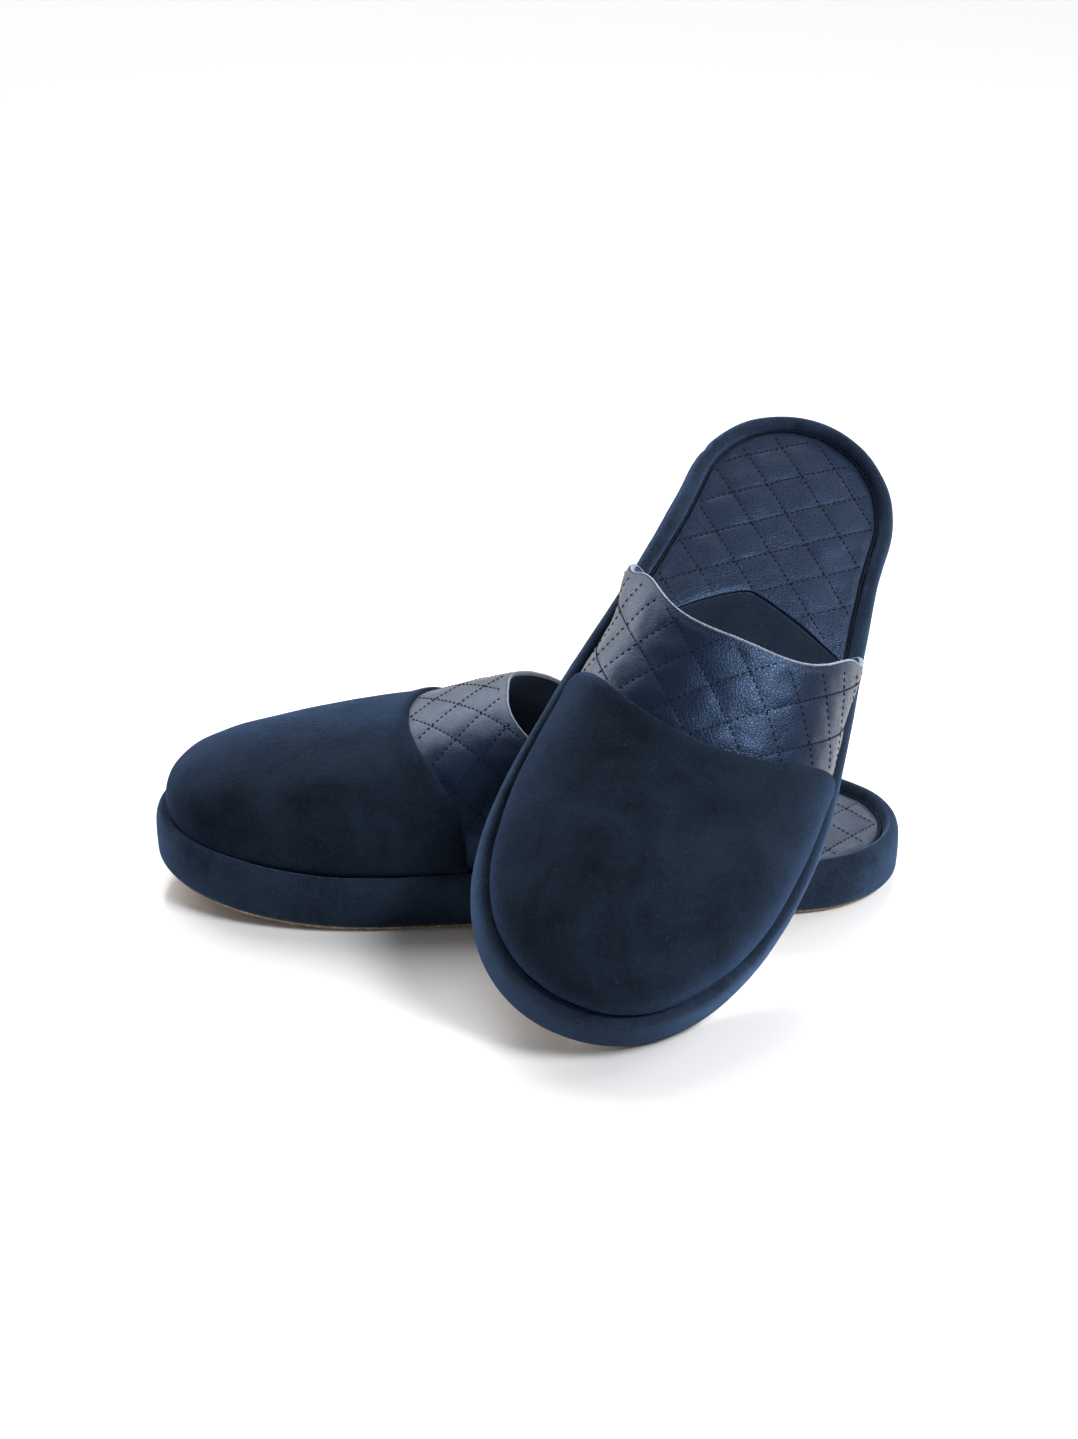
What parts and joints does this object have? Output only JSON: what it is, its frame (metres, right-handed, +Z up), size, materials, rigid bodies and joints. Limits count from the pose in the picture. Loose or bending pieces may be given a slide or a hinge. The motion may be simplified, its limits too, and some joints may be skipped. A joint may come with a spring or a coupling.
{
  "type": "pair of closed-toe spa slippers",
  "caption": "Closed-toe, open-back padded spa slippers with velour toes and quilted bands, one leaning on the other.",
  "frame": {"origin": "centre of the pair's footprint box, on the floor the right slipper lies on", "axes": "+X from the toe to the heel of the flat right slipper, +Z up, +Y towards the raised heel of the leaning left slipper"},
  "size_m": [0.285, 0.2458, 0.1528],
  "materials": {
    "velour": "dense brushed navy velour, matte with a soft sheen at grazing angles",
    "quilted_leather": "navy grained leather, semi-gloss, quilted in diamonds with navy thread",
    "lining": "lighter blue short-pile lining, matte",
    "edge": "pale blue-grey folded edge binding, satin",
    "tread": "tan fine-textured tread, matte",
    "foam": "grey foam, matte, hidden inside",
    "board": "brown pressed-fibre insole board, matte, hidden inside",
    "thread": "navy bonded polyester thread"
  },
  "bodies": {
    "right_slipper": {"right_outsole": "tread", "right_platform": "foam", "right_platform_cover": "velour", "right_insole_board": "board", "right_footbed_foam": "foam", "right_heel_sock": "quilted_leather", "right_toe_sock": "velour", "right_seam_thread": "thread", "right_toe_cover": "velour", "right_quilted_band": "quilted_leather", "right_vamp_padding": "foam", "right_vamp_lining": "lining", "right_topline_binding": "edge"},
    "left_slipper": {"left_outsole": "tread", "left_platform": "foam", "left_platform_cover": "velour", "left_insole_board": "board", "left_footbed_foam": "foam", "left_heel_sock": "quilted_leather", "left_toe_sock": "velour", "left_seam_thread": "thread", "left_toe_cover": "velour", "left_quilted_band": "quilted_leather", "left_vamp_padding": "foam", "left_vamp_lining": "lining", "left_topline_binding": "edge"}
  },
  "joints": [
    {"name": "slipper_lift", "type": "slide", "parent": "right_slipper", "child": "left_slipper", "axis": [0, 0, 1], "range_m": [0, 0.12]}
  ]
}
